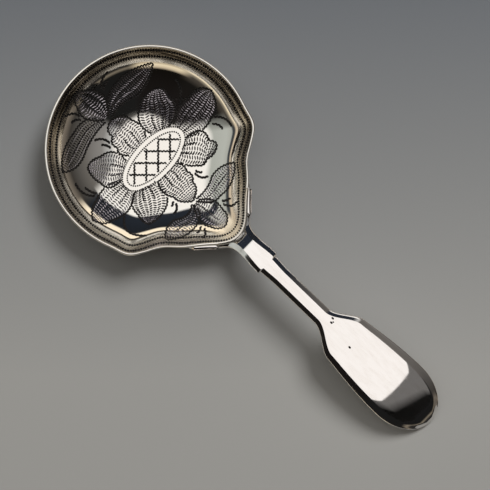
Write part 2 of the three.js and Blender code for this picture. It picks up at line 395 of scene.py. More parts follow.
engravingValues = {
    "ovalMiddle": (1.35, -0.75),
    "ovalOuter": (3.95, 8.1),
    "ovalInner": (2.9, 7.05),
    "ovalDot": 0.38,
    "ovalDotPitch": 0.44,
    "ovalSteps": 90,
    "latticeCross": (0.85, -2.4),
    "latticePitch": 2.38,
    "latticeTurn": 44,
    "latticeMargin": 0.3,
    "latticeSteps": 60,
    "latticeWeight": 0.95,
    "borderInsets": (1.05, 2.15),
    "borderDot": 0.52,
    "borderPitch": 0.52,
    "borderSteps": 360,
    "dotDepth": 0.5,
    "linePitch": 0.33,
    "lineWidth": 0.42,
    "lineDepth": 0.13,
    "lineReach": 0.68,
    "lineMargin": 0.6,
    "lineSpread": (0.9, 1.1),
    "wriggle": 48,
    "wriggleSpread": (0.8, 1.2),
    "hatchPitch": 0.43,
    "hatchWidth": 0.33,
    "hatchDepth": 0.09,
    "hatchSpread": (0.85, 1.15),
    "hatchLean": 18,
    "leanSpread": (0.5, 1.5),
    "hatchOverlap": 0.03,
    "hatchLeastRoom": 3,
    "petalColumns": 7,
    "leafColumns": 5,
    "petalVeins": (0.34, 0.66),
    "petalVeinReach": 0.4,
    "leafVeins": (0.5,),
    "leafVeinReach": 0.75,
    "veinSteps": 16,
    "veinWeight": 0.6,
    "accentWeight": 1.25,
    # Petals and leaves: one side, then the other, each from the root to the tip. A side is a chain of lobes,
    # as corner, middle of the lobe, corner, middle, corner.
    "petals": [
        ([(5.1, 1.6), (6.5, 2.4), (7.8, 2.0), (9.1, 2.2), (10.2, 1.3), (11.8, 0.7), (12.9, -1.4)],
         [(5.1, -3.4), (7.4, -4.2), (9.7, -3.4), (11.2, -3.1), (12.9, -1.4)]),
        ([(3.0, 6.7), (4.2, 9.8), (6.8, 9.6), (8.4, 10.1), (9.3, 8.4)],
         [(5.0, 2.3), (7.2, 3.1), (8.4, 4.3), (9.3, 5.3), (9.0, 6.7), (9.3, 7.5), (9.3, 8.4)]),
        ([(-0.6, 7.0), (-2.0, 10.0), (-2.0, 12.6), (-1.9, 15.4), (0.3, 17.0)],
         [(3.0, 7.2), (4.3, 10.2), (4.0, 13.2), (3.2, 15.4), (0.3, 17.0)]),
        ([(-1.0, 6.0), (-2.4, 9.6), (-5.0, 10.3), (-6.8, 10.6), (-8.0, 9.6)],
         [(-2.5, 2.6), (-5.4, 2.4), (-7.6, 4.2), (-8.6, 6.8), (-8.0, 9.6)]),
        ([(-2.8, 1.2), (-5.0, 2.2), (-7.4, 1.7), (-9.2, 1.0), (-10.1, -1.4)],
         [(-2.7, -3.7), (-4.2, -4.7), (-5.4, -4.2), (-6.8, -4.3), (-7.7, -3.2), (-9.2, -3.0), (-10.1, -1.4)]),
        ([(-2.3, -4.9), (-5.4, -5.4), (-6.6, -7.9), (-7.2, -9.6), (-6.8, -11.2)],
         [(-0.4, -8.3), (-0.9, -10.9), (-2.8, -11.6), (-4.9, -11.8), (-6.8, -11.2)]),
        ([(-0.3, -8.6), (-1.6, -11.4), (-0.9, -15.0), (-0.2, -16.6), (1.4, -17.9)],
         [(3.2, -8.4), (4.9, -11.8), (4.0, -15.4), (3.4, -16.8), (1.4, -17.9)]),
        ([(4.6, -4.0), (7.6, -3.9), (9.7, -5.6), (10.3, -8.2), (9.8, -10.8)],
         [(3.3, -8.0), (4.6, -10.3), (7.0, -10.9), (8.4, -11.2), (9.8, -10.8)]),
    ],
    "leaves": [
        ([(13.1, -0.6), (13.1, 2.4), (12.2, 4.8), (12.3, 7.6), (13.7, 9.9)],
         [(13.8, -0.6), (15.8, 1.2), (16.1, 3.2), (15.9, 6.6), (13.7, 9.9)]),
        ([(13.5, -1.0), (15.4, 1.4), (18.5, 1.5), (20.0, 1.2), (21.1, -0.4)],
         [(13.5, -1.8), (16.6, -3.2), (19.0, -2.6), (20.4, -1.8), (21.1, -0.4)]),
        ([(13.2, -2.0), (14.0, -4.2), (12.9, -6.6), (13.0, -8.9), (14.4, -10.6)],
         [(13.8, -1.8), (16.4, -3.0), (16.8, -6.8), (15.9, -8.9), (14.4, -10.6)]),
        ([(-10.9, -0.8), (-13.4, 1.2), (-14.5, 5.0), (-13.9, 8.9), (-11.8, 12.8)],
         [(-10.4, -0.6), (-10.8, 2.6), (-9.8, 6.0), (-10.2, 9.6), (-11.8, 12.8)]),
        ([(-11.2, -1.2), (-13.6, 1.2), (-16.6, 0.7), (-17.6, -0.4), (-18.3, -2.0)],
         [(-11.2, -2.0), (-13.8, -4.4), (-16.4, -4.0), (-17.6, -3.4), (-18.3, -2.0)]),
        ([(-11.2, -2.2), (-13.6, -4.4), (-13.5, -8.2), (-12.2, -12.3), (-9.5, -15.2)],
         [(-10.7, -2.2), (-10.4, -6.0), (-9.2, -9.6), (-8.5, -12.7), (-9.5, -15.2)]),
    ],
    # single curved accents: start, middle, end
    "accents": [
        [(-16.9, 5.4), (-16.8, 3.6), (-15.8, 2.1)], [(-15.9, 4.1), (-15.7, 3.0), (-15.3, 2.2)],
        [(-15.0, -5.0), (-16.2, -5.4), (-16.8, -6.9)], [(-14.3, -5.3), (-15.0, -5.9), (-15.2, -7.0)],
        [(-7.2, -4.6), (-8.7, -5.0), (-9.7, -6.3)], [(-6.4, -5.2), (-7.3, -5.4), (-8.1, -6.0)],
        [(-6.3, -15.1), (-3.9, -15.4), (-1.9, -14.3)], [(-4.4, -14.4), (-3.1, -14.2), (-2.0, -13.7)],
        [(4.9, -12.6), (7.7, -14.7), (11.1, -12.7)],
        [(4.3, 13.6), (6.0, 14.8), (8.1, 14.7)], [(5.0, 12.4), (6.0, 13.1), (7.2, 13.1)],
        [(9.0, 3.4), (9.7, 3.6), (10.2, 4.1)], [(9.3, 2.9), (10.8, 3.2), (11.6, 4.3)],
        [(10.1, -4.2), (10.4, -4.6), (10.6, -5.1)], [(10.8, -4.1), (11.7, -4.8), (11.9, -5.8)],
        [(17.1, 2.7), (17.7, 3.4), (17.9, 4.2)], [(17.7, 2.4), (19.1, 3.2), (19.4, 4.6)],
        [(17.6, -3.9), (18.0, -4.6), (18.0, -5.4)], [(18.4, -3.7), (19.3, -4.3), (19.6, -5.3)],
        [(-6.5, 13.7), (-4.3, 12.9), (-2.4, 10.4)], [(-2.3, 12.6), (-3.0, 11.6), (-3.8, 11.0)],
    ],
}
hand = random.Random(11)


def insideFace(x, y):
    # the point of the inside face over a place: it undoes the pull towards the outline, closer each time
    b = bowlValues
    reach = rimReach(x, y) / b["radius"]
    plain = away = math.hypot(x, y)
    for i in range(5):
        plain = away / mix(1, reach, (plain / b["radius"]) ** b["outlineFade"])
    return Vector((x, y, insideHeight(plain / innerRadius)))


def insideNormal(x, y):
    step = 0.02
    east = insideFace(x + step, y) - insideFace(x - step, y)
    north = insideFace(x, y + step) - insideFace(x, y - step)
    return east.cross(north).normalized()


class Graver:
    # cuts strokes of one kind, in passes: the strokes of one pass are kept apart by marks along them
    cell = 0.4
    markPitch = 0.6
    markReach = 0.45
    gap = 0.01

    def __init__(self, litSlot, shadedSlot, passes):
        self.litSlot = litSlot
        self.shadedSlot = shadedSlot
        self.passes = [([], {}) for i in range(passes)]

    def isFree(self, marks, taken):
        for x, y, reach in marks:
            column, row = math.floor(x / self.cell), math.floor(y / self.cell)
            for near in [(column + i, row + j) for i in (-1, 0, 1) for j in (-1, 0, 1)]:
                for other in taken.get(near, []):
                    if math.hypot(x - other[0], y - other[1]) < reach + other[2]:
                        return False
        return True

    def stroke(self, start, end, width, depth):
        steps = max(2, math.ceil(math.dist(start, end) / (width * self.markPitch)))
        marks = []
        for i in range(steps + 1):
            t = i / steps
            reach = width * self.markReach * (1 - abs(2 * t - 1) ** 2) + self.gap
            marks.append((mix(start[0], end[0], t), mix(start[1], end[1], t), reach))
        held = next((held for held in self.passes if self.isFree(marks, held[1])), None)
        if not held:
            return
        places, taken = held
        for mark in marks:
            cell = math.floor(mark[0] / self.cell), math.floor(mark[1] / self.cell)
            taken.setdefault(cell, []).append(mark)
        first, last = insideFace(*start), insideFace(*end)
        middle = (first + last) / 2
        along = (last - first).normalized()
        across = insideNormal(middle.x, middle.y).cross(along).normalized()
        up = along.cross(across)
        if across.dot(middle) < 0:
            # across points away from the middle of the bowl, which tells the two flanks apart
            across, along = -across, -along
        turn = Matrix((across, up, along)).transposed().to_4x4()
        size = Matrix.Diagonal((width / 2, depth, (last - first).length / 2, 1))
        places.append(Matrix.Translation(middle) @ turn @ size)

    def cut(self, obj):
        # one pointed diamond, laid in at every place, then taken out of the piece. The flank of its cut that lies
        # further from the middle of the bowl has the shaded slot, which in the hatch is painted shade: a black
        # flank.
        bm = bmesh.new()
        bmesh.ops.create_uvsphere(bm, u_segments=4, v_segments=3, radius=1)
        for face in bm.faces:
            face.material_index = self.shadedSlot if face.calc_center_median().x > 0 else self.litSlot
        diamond = bpy.data.meshes.new("diamond")
        bm.to_mesh(diamond)
        bm.free()
        for places, taken in self.passes:
            bm = bmesh.new()
            for place in places:
                laid = diamond.copy()
                laid.transform(place)
                bm.from_mesh(laid)
                bpy.data.meshes.remove(laid)
            bmesh.ops.recalc_face_normals(bm, faces=bm.faces)
            combine(obj, toObject(bm, "strokes", bowlMaterials), "DIFFERENCE")


# the lines are blackened on both flanks; in the hatch the far flank is painted shade
silverSlot, blackenedAndShadeSlot = bowlMaterials.index(cutSilver), bowlMaterials.index(blackenedAndShadedCut)
lineGraver = Graver(litSlot=blackenedAndShadeSlot, shadedSlot=blackenedAndShadeSlot, passes=3)
hatchGraver = Graver(litSlot=silverSlot, shadedSlot=blackenedAndShadeSlot, passes=3)


def placesAlong(points, count):
    # evenly spaced places on a chain of points, each with its heading
    lengths = [math.dist(a, b) for a, b in zip(points, points[1:])]
    total = sum(lengths)
    places = []
    piece = 0
    passed = 0.0
    for i in range(count):
        want = total * (i + 0.5) / count
        while piece < len(lengths) - 1 and passed + lengths[piece] < want:
            passed += lengths[piece]
            piece += 1
        a, b = points[piece], points[piece + 1]
        t = (want - passed) / lengths[piece]
        places.append((mix(a[0], b[0], t), mix(a[1], b[1], t), math.atan2(b[1] - a[1], b[0] - a[0])))
    return places


def chainLength(points):
    return sum(math.dist(a, b) for a, b in zip(points, points[1:]))


def wriggleLine(points, weight=1.0):
    # a dark line walked along a chain of points, one short stroke after another, rocked from side to side
    e = engravingValues
    count = max(1, round(chainLength(points) / e["linePitch"]))
    rock = math.radians(e["wriggle"])
    for i, (x, y, heading) in enumerate(placesAlong(points, count)):
        heading += (rock if i % 2 else -rock) * hand.uniform(*e["wriggleSpread"])
        half = e["linePitch"] * e["lineReach"] / math.cos(rock)
        dx, dy = half * math.cos(heading), half * math.sin(heading)
        width = e["lineWidth"] * weight * hand.uniform(*e["lineSpread"])
        lineGraver.stroke((x - dx, y - dy), (x + dx, y + dy), width, e["lineDepth"] * weight)


def dotRow(points, pitch, size):
    # round pricks, evenly spaced along a chain of points
    depth = size * engravingValues["dotDepth"]
    for x, y, heading in placesAlong(points, round(chainLength(points) / pitch)):
        dx, dy = -size / 2 * math.sin(heading), size / 2 * math.cos(heading)
        lineGraver.stroke((x - dx, y - dy), (x + dx, y + dy), size, depth)


def onOval(axes, turn):
    e = engravingValues
    return (e["ovalMiddle"][0] + axes[0] * math.cos(math.tau * turn),
            e["ovalMiddle"][1] + axes[1] * math.sin(math.tau * turn))


def insideOval(x, y, axes):
    e = engravingValues
    return math.hypot((x - e["ovalMiddle"][0]) / axes[0], (y - e["ovalMiddle"][1]) / axes[1]) < 1


def engraveOval():
    e = engravingValues
    for axes in (e["ovalInner"], e["ovalOuter"]):
        walk = [onOval(axes, i / e["ovalSteps"]) for i in range(e["ovalSteps"] + 1)]
        dotRow(walk, e["ovalDotPitch"], e["ovalDot"])
    field = [axis - e["latticeMargin"] for axis in e["ovalInner"]]
    reach = 2 * max(field)
    steps = e["latticeSteps"]
    for turn in (e["latticeTurn"], e["latticeTurn"] + 90):
        along = Vector((math.cos(math.radians(turn)), math.sin(math.radians(turn))))
        aside = Vector((-along.y, along.x))
        count = math.ceil(reach / e["latticePitch"])
        for k in range(-count, count + 1):
            foot = Vector(e["latticeCross"]) + aside * (k * e["latticePitch"])
            walk = [foot + along * (reach * i / steps) for i in range(-steps, steps + 1)]
            held = [tuple(place) for place in walk if insideOval(place.x, place.y, field)]
            if len(held) > 2:
                wriggleLine([held[0], held[-1]], e["latticeWeight"])


def engraveBorder():
    e = engravingValues
    steps = e["borderSteps"]
    for inset in e["borderInsets"]:
        walk = []
        for i in range(steps + 1):
            turn = math.tau * i / steps
            reach = rimReach(math.cos(turn), math.sin(turn)) - inset
            walk.append((reach * math.cos(turn), reach * math.sin(turn)))
        dotRow(walk, e["borderPitch"], e["borderDot"])


def arc(start, middle, end, steps=12):
    # a curve from start to end that passes through the middle
    start, middle, end = Vector(start), Vector(middle), Vector(end)
    pull = 2 * middle - (start + end) / 2
    return [tuple(start.lerp(pull, i / steps).lerp(pull.lerp(end, i / steps), i / steps)) for i in range(steps + 1)]


def lobes(chain):
    return [arc(*chain[i:i + 3]) for i in range(0, len(chain) - 2, 2)]


def sidePlaces(chain, count):
    whole = [place for lobe in lobes(chain) for place in lobe[:-1]] + [chain[-1]]
    return [place[:2] for place in placesAlong(whole, count)]


def hatchBlade(sides, columns):
    # fine strokes side by side across each column, from the root to the tip
    e = engravingValues
    rows = round(max(math.dist(side[0], side[-1]) for side in sides) / e["hatchPitch"])
    for left, right in zip(*[sidePlaces(side, rows) for side in sides]):
        left, right = Vector(left), Vector(right)
        room = (right - left).length
        if room < e["hatchLeastRoom"] * e["hatchWidth"]:
            continue
        margin = e["lineMargin"] * e["lineWidth"] / room
        for column in range(columns):
            lean = math.radians(e["hatchLean"]) * (1 if column % 2 else -1)
            shares = [mix(margin, 1 - margin, (column + part) / columns)
                      for part in (-e["hatchOverlap"], 1 + e["hatchOverlap"])]
            start, end = [left.lerp(right, share) for share in shares]
            middle = (start + end) / 2
            half = (end - start) / 2
            half.rotate(Matrix.Rotation(lean * hand.uniform(*e["leanSpread"]), 2))
            start, end = middle - half, middle + half
            width = e["hatchWidth"] * hand.uniform(*e["hatchSpread"])
            hatchGraver.stroke(tuple(start), tuple(end), width, e["hatchDepth"])


def veins(sides, shares, reach):
    # dark lines from the root, part of the way to the tip
    steps = engravingValues["veinSteps"]
    left, right = [[Vector(place) for place in sidePlaces(side, steps)] for side in sides]
    for share in shares:
        line = [tuple(a.lerp(b, share)) for a, b in zip(left, right)]
        wriggleLine(line[:round(steps * reach)], engravingValues["veinWeight"])


def engraveFlower():
    e = engravingValues
    for sides in e["petals"] + e["leaves"]:
        for side in sides:
            for lobe in lobes(side):
                wriggleLine(lobe)
    for sides in e["petals"]:
        veins(sides, e["petalVeins"], e["petalVeinReach"])
    for sides in e["leaves"]:
        veins(sides, e["leafVeins"], e["leafVeinReach"])
    for points in e["accents"]:
        wriggleLine(arc(*points), e["accentWeight"])
    for sides in e["petals"]:
        hatchBlade(sides, e["petalColumns"])
    for sides in e["leaves"]:
        hatchBlade(sides, e["leafColumns"])


engraveBorder()
engraveOval()
engraveFlower()
print("strokes laid out", [len(places) for graver in (lineGraver, hatchGraver) for places, taken in graver.passes])

plainBowl = bowl.data.copy()
lineGraver.cut(bowl)
hatchGraver.cut(bowl)
print("engraving cut", len(bowl.data.polygons), "faces")


def keepPlainNormals(obj, plain):
    # what is left of the plain surface keeps its smooth normals, and cut faces stay crisp
    faces = [poly.vertices for poly in plain.polygons]
    places = [vert.co.copy() for vert in plain.vertices]
    slopes = [vert.normal.copy() for vert in plain.vertices]
    tree = BVHTree.FromPolygons(places, faces)
    mesh = obj.data
    smooth = []
    for vert in mesh.vertices:
        place, _, face, _ = tree.find_nearest(vert.co)
        corners = faces[face]
        shares = poly_3d_calc([places[i] for i in corners], place)
        normal = Vector((0, 0, 0))
        for i, share in zip(corners, shares):
            normal += slopes[i] * share
        smooth.append(normal.normalized())
    normals = [None] * len(mesh.loops)
    for poly in mesh.polygons:
        for i in poly.loop_indices:
            plainFace = poly.material_index == 0
            normals[i] = smooth[mesh.loops[i].vertex_index] if plainFace else poly.normal.copy()
    mesh.normals_split_custom_set(normals)


def markSweep(obj):
    # where each point lies on the bowl: its share of the way out to the rim, then its turn round the middle.
    # The share is negative where the warm tint, partly tarnish and partly painted warm reflection, is left off: on
    # the outside, and on the lip away from the nose.
    lipShare = innerRadius / bowlValues["radius"]
    tintStart, tintEnd = bowlValues["lipTintArc"]
    sweep = obj.data.attributes.new("sweep", "FLOAT_VECTOR", "POINT")
    for vert, mark in zip(obj.data.vertices, sweep.data):
        x, y = vert.co.xy
        away = max(1e-6, math.hypot(x, y))
        share = away / rimReach(x, y)
        inside = share < lipShare + 0.001 and vert.co.z > insideFace(x, y).z - bowlValues["sheet"] / 2
        onLip = vert.co.z > bowlValues["height"] - bowlValues["sheet"]
        # the lip near the nose is coloured cream with the same tint, partly tarnish and partly painted warm
        # reflection
        isLipTinted = onLip and tintStart < math.degrees(math.atan2(y, x)) < tintEnd
        mark.vector = (share if inside or isLipTinted else -share, x / away, y / away)


keepPlainNormals(bowl, plainBowl)
markSweep(bowl)
settle(bowl)
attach(bowl, "root")
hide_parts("bowl")
print("bowl made")


# Handle

handleValues = {
    "reach": 52.9,
    "rootOverlap": 5.0,
    "rootHalf": 4.4,
    "neckHalf": 2.25,
    "neckFlare": 0.7,
    "neckFlareLength": 1.3,
    "neckLength": 7.2,
    "notchHalf": 2.75,
    "notchFloor": 2.2,
    "notchFlank": 0.35,
    "notchRunOut": 4.0,
    "stemHalf": 2.0,
    "stemLength": 22.0,
    "shoulderHalf": 5.35,
    "shoulderLength": 7.2,
    "bladeHalf": 6.55,
    "roundEnd": 9.2,
    "tipHalf": 0.2,
    "rimStep": 0.81,
    "neckSlope": 27,
    "neckBendReach": 2.9,
    "neckBendLength": 1.2,
    "stemSlope": 9,
    "crestReach": 13.2,
    "tipSlope": 35,
    "tipPull": 0.75,
    "rootThickness": 1.2,
    "stemThickness": 2.1,
    "bladeThickness": 1.25,
    "tipThickness": 1.0,
    "edgeShare": 0.25,
    "neckBevel": 1.2,
    "stemBevel": 1.0,
    "bladeBevel": 1.5,
    "bevelLimit": 0.6,
    "chamferShare": 0.8,
    "chamferDrop": 0.4,
    "tipRounding": 2.0,
    "saddleThickness": 0.6,
    "saddleHalf": 8.9,
    "earDrop": 0.1,
    "earRound": 0.9,
    "earFlat": 0.85,
    "earPull": 0.95,
    "earSteps": 10,
    "flankWaist": 0.75,
    "dropPull": 0.5,
    "flankSteps": 24,
    "dip": 0.9,
    "dipHalf": 3.8,
    "dipFlank": 0.8,
    "dropLift": 1.9,
    "solderFilm": 0.18,
    "solderOverfill": 0.07,
    "earEase": 0.55,
    "earEaseRadians": 0.6,
    "solderMargin": 0.35,
    "seatGap": 0.1,
    "pits": [(48.9, 1.15, 0.65), (49.3, 0.35, 0.65), (49.5, 0.7, 0.4), (55.3, -0.65, 0.65)],
    "stations": 240,
    "notchSteps": 6,
    "notchClear": 0.1,
    "roundEndSteps": 48,
    "sectionSteps": 64,
    "sharpAngle": 17,
    "solderSharpAngle": 35,
}
h = handleValues
noseX = bowlValues["radius"] + bowlValues["noseReach"]
neckTop = bowlValues["height"] - h["rimStep"]
rootX = noseX - h["rootOverlap"]
notchX = noseX + h["neckLength"]
stemEndX = noseX + h["stemLength"]
shoulderX = stemEndX + h["shoulderLength"]
tipX = noseX + h["reach"]
roundEndX = tipX - h["roundEnd"]


def handleHalfWidth(x):
    if x <= notchX:
        neck = ease(x, noseX, notchX, h["neckHalf"], h["notchHalf"])
        return min(h["rootHalf"], neck + h["neckFlare"] * math.exp((noseX - x) / h["neckFlareLength"]))
    stem = ease(x, notchX, notchX + h["notchRunOut"], h["notchFloor"], h["stemHalf"])
    if x < notchX + h["notchFlank"]:
        return ease(x, notchX, notchX + h["notchFlank"], h["notchHalf"], stem)
    if x < stemEndX:
        return stem
    if x < shoulderX:
        return ease(x, stemEndX, shoulderX, h["stemHalf"], h["shoulderHalf"])
    if x < roundEndX:
        swell = (x - shoulderX) / (roundEndX - shoulderX)
        return mix(h["shoulderHalf"], h["bladeHalf"], math.sin(math.pi / 2 * swell))
    past = (x - roundEndX) / h["roundEnd"]
    return max(h["tipHalf"], h["bladeHalf"] * math.sqrt(max(0, 1 - past ** 2)))


def handleThickness(x):
    if x < notchX:
        return ease(x, rootX, noseX, h["rootThickness"], h["stemThickness"])
    if x < roundEndX:
        return ease(x, notchX, roundEndX, h["stemThickness"], h["bladeThickness"])
    plain = ease(x, roundEndX, tipX, h["bladeThickness"], h["tipThickness"])
    inward = min(1, (tipX - x) / h["tipRounding"])
    return plain * mix(h["edgeShare"], 1, math.sqrt(max(0, 1 - (1 - inward) ** 2)))


def bevelWidth(x):
    if x < stemEndX:
        return ease(x, noseX, notchX, h["neckBevel"], h["stemBevel"])
    return ease(x, stemEndX, roundEndX, h["stemBevel"], h["bladeBevel"])


def handleSpine(steps=160):
    # the middle line from the side: steeply up from under the rim, a bend, a low crest, then down to the table
    def along(point, reach, degrees):
        return point + Vector((reach, 0, reach * math.tan(math.radians(degrees))))
    neck = Vector((noseX, 0, neckTop - h["stemThickness"] / 2))
    root = along(neck, -h["rootOverlap"], h["neckSlope"])
    bend = along(neck, h["neckBendReach"], h["neckSlope"])
    bendStart = along(bend, -h["neckBendLength"] / 2, h["neckSlope"])
    bendEnd = along(bend, h["neckBendLength"] / 2, h["stemSlope"])
    # the crest is as high as the stem's slope climbs in half of the way there
    climb = (noseX + h["crestReach"] - bendEnd.x) / 3
    crest = Vector((noseX + h["crestReach"], 0, along(bendEnd, 1.5 * climb, h["stemSlope"]).z))
    end = Vector((tipX, 0, h["tipThickness"] / 2 * math.cos(math.radians(h["tipSlope"]))))
    fall = (end.x - crest.x) / 3
    curves = [
        (root, root.lerp(bendStart, 1 / 3), root.lerp(bendStart, 2 / 3), bendStart),
        (bendStart, bendStart.lerp(bend, 2 / 3), bendEnd.lerp(bend, 2 / 3), bendEnd),
        (bendEnd, along(bendEnd, climb, h["stemSlope"]), crest - Vector((climb, 0, 0)), crest),
        (crest, crest + Vector((fall, 0, 0)), along(end, -h["tipPull"] * fall, -h["tipSlope"]), end),
    ]
    points = []
    for curve in curves:
        points += interpolate_bezier(*curve, steps)[bool(points):]
    return points


def spineAt(points, x):
    # the height of the middle line and its tilt
    after = next((i for i, p in enumerate(points) if i and p.x >= x), len(points) - 1)
    a, b = points[after - 1], points[after]
    t = (x - a.x) / (b.x - a.x)
    return mix(a.z, b.z, t), math.atan2(b.z - a.z, b.x - a.x)


def handleStations():
    # places along X, closer together at the notch and in the round end
    steps = h["stations"]
    plain = [mix(rootX, roundEndX, i / steps) for i in range(steps)]
    plain = [x for x in plain if not notchX - h["notchClear"] < x < notchX + h["notchFlank"] + h["notchClear"]]
    notch = [notchX + h["notchFlank"] * i / h["notchSteps"] for i in range(h["notchSteps"] + 1)]
    steps = h["roundEndSteps"]
    roundEnd = [roundEndX + h["roundEnd"] * shareAt(i, steps) for i in range(steps + 1)]
    return sorted(plain + notch) + roundEnd


def sectionPlace(index, halfWidth, bevel):
    # place across and share of the thickness for a step round the section: a flat, a chamfer, a rounded edge
    quarter = h["sectionSteps"] // 4
    bevel = min(bevel, halfWidth * h["bevelLimit"])
    place = index % h["sectionSteps"]
    side = 1 if (place < quarter or place >= 3 * quarter) else -1
    up = 1 if place < 2 * quarter else -1
    fold = place % quarter if side * up > 0 else quarter - place % quarter
    flat = halfWidth - bevel
    chamferEnd = flat + bevel * h["chamferShare"]
    edgeSteps, chamferSteps = quarter // 2, quarter // 4
    if fold <= edgeSteps:
        turn = math.pi / 2 * (1 - fold / edgeSteps)
        across = mix(chamferEnd, halfWidth, math.sin(turn))
        return side * across, up * mix(h["edgeShare"], 1 - h["chamferDrop"], math.cos(turn))
    if fold <= edgeSteps + chamferSteps:
        down = 1 - (fold - edgeSteps) / chamferSteps
        return side * mix(flat, chamferEnd, down), up * (1 - h["chamferDrop"] * down)
    along = (fold - edgeSteps - chamferSteps) / (quarter - edgeSteps - chamferSteps)
    return side * flat * (1 - along), up


def makeHandleBar():
    # a ring drawn out station by station, then shaped to the outline, the section and the middle line
    steps = h["sectionSteps"]
    stations = handleStations()
    bm = bmesh.new()
    ring = bmesh.ops.create_circle(bm, segments=steps, radius=1)["verts"]
    edges = list({edge for vert in ring for edge in vert.link_edges})
    bmesh.ops.contextual_create(bm, geom=edges)
    for i in range(1, len(stations)):
        drawn = bmesh.ops.extrude_edge_only(bm, edges=edges)["geom"]
        verts = [g for g in drawn if isinstance(g, bmesh.types.BMVert)]
        edges = [g for g in drawn if isinstance(g, bmesh.types.BMEdge)]
        bmesh.ops.translate(bm, verts=verts, vec=(0, 0, 1))
    bmesh.ops.contextual_create(bm, geom=edges)
    points = handleSpine()
    spines = [spineAt(points, x) for x in stations]
    for vert in bm.verts:
        station = round(vert.co.z)
        index = round(math.atan2(vert.co.y, vert.co.x) / math.tau * steps) % steps
        x = stations[station]
        across, up = sectionPlace(index, handleHalfWidth(x), bevelWidth(x))
        lift = up * handleThickness(x) / 2
        height, tilt = spines[station]
        vert.co = (x - lift * math.sin(tilt), across, height + lift * math.cos(tilt))
    bmesh.ops.recalc_face_normals(bm, faces=bm.faces)
    return toObject(bm, "fiddle_handle", handleMaterials)


def pitTool():
    # small dents struck into the top of the blade, longer than they are wide, and shallow
    points = handleSpine()
    bm = bmesh.new()
    for x, y, size in h["pits"]:
        height, tilt = spineAt(points, x)
        top = height + handleThickness(x) / 2 * math.cos(tilt)
        shape = Matrix.Translation((x, y, top)) @ Matrix.Diagonal((size / 2, size / 3, size / 4, 1))
        bmesh.ops.create_icosphere(bm, subdivisions=2, radius=1, matrix=shape)
    for face in bm.faces:
        face.material_index = handleMaterials.index(blackenedAndShadedCut)
    return toObject(bm, "pits", handleMaterials)


def makeShield(margin):
    # the saddle's outline seen along the handle: the neck's root, a dip on each side of it, two ears under the rim,
    # and all of it drawn to a drop under the bowl
    bottom = h["dropLift"] - margin
    half = h["saddleHalf"] + margin
    earTop = neckTop - h["earDrop"]
    earZ = earTop - h["earRound"]
    middleZ = (neckTop + bottom) / 2
    place = lambda y, z: Vector((bowlValues["foot"], y, z))
    ear = interpolate_bezier(place(h["earFlat"] * half, earTop), place(h["earPull"] * half, earTop),
                             place(half, mix(earTop, earZ, 1 / 3)), place(half, earZ), h["earSteps"])
    flank = interpolate_bezier(place(half, earZ), place(h["flankWaist"] * half, middleZ),
                               place(h["dropPull"] * half, bottom), place(0, bottom), h["flankSteps"])
    dip = [place(h["neckHalf"] / 2, neckTop), place(h["dipHalf"], earTop - h["dip"]),
           place(h["dipHalf"] + h["dipFlank"], earTop)]
    right = dip + ear + flank[1:]
    left = [place(-p.y, p.z) for p in reversed(right[:-1])]
    bm = bmesh.new()
    face = bm.faces.new([bm.verts.new(p) for p in right + left])
    drawn = bmesh.ops.extrude_face_region(bm, geom=[face])["geom"]
    depth = noseX + h["saddleThickness"] - bowlValues["foot"] + bowlValues["sheet"]
    bmesh.ops.translate(bm, verts=[g for g in drawn if isinstance(g, bmesh.types.BMVert)], vec=(depth, 0, 0))
    bmesh.ops.recalc_face_normals(bm, faces=bm.faces)
    return toObject(bm, "shield", [])


def easeEars(obj):
    # takes the sharp outer corner off the top of the ears
    bm = bmesh.new()
    bm.from_mesh(obj.data)
    isOuter = lambda v: (v.co.z > neckTop - h["earRound"] and abs(v.co.y) > h["dipHalf"]
                         and v.co.xy.length > rimReach(v.co.x, v.co.y) + h["saddleThickness"] / 4)
    edges = [e for e in bm.edges
             if all(isOuter(v) for v in e.verts) and e.calc_face_angle(0) > h["earEaseRadians"]]
    print("ear edges eased", len(edges))
    bmesh.ops.bevel(bm, geom=edges, affect="EDGES", offset=h["earEase"], segments=2, profile=0.5, material=-1)
    bm.to_mesh(obj.data)
    bm.free()


def makeHandle():
    seat = 2 * h["seatGap"] + h["solderFilm"]
    handle = makeHandleBar()
    saddle = filledBowl(seat + h["saddleThickness"], "saddle")
    combine(saddle, makeShield(0), "INTERSECT")
    easeEars(saddle)
    combine(handle, saddle, "UNION")
    combine(handle, filledBowl(seat, "seat"), "DIFFERENCE")
    combine(handle, pitTool(), "DIFFERENCE")
    return handle


def makeSolder():
    inner, outer = h["seatGap"] - h["solderOverfill"], h["seatGap"] + h["solderFilm"] + h["solderOverfill"]
    film = filledBowl(outer, "solder_film")
    combine(film, filledBowl(inner, "inside"), "DIFFERENCE")
    combine(film, makeShield(h["solderMargin"]), "INTERSECT")
    return film


handle = makeHandle()
handle.data.set_sharp_from_angle(angle=math.radians(h["sharpAngle"]))
settle(handle)
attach(handle, "root")
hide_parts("handle")
print("handle made", len(handle.data.polygons), "faces")

solder = makeSolder()
solder.data.materials.append(solderSilverAndShade)
solder.data.set_sharp_from_angle(angle=math.radians(h["solderSharpAngle"]))
settle(solder)
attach(solder, "root")
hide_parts("solder_seam")
print("solder made", len(solder.data.polygons), "faces")


# Floor, lights and camera

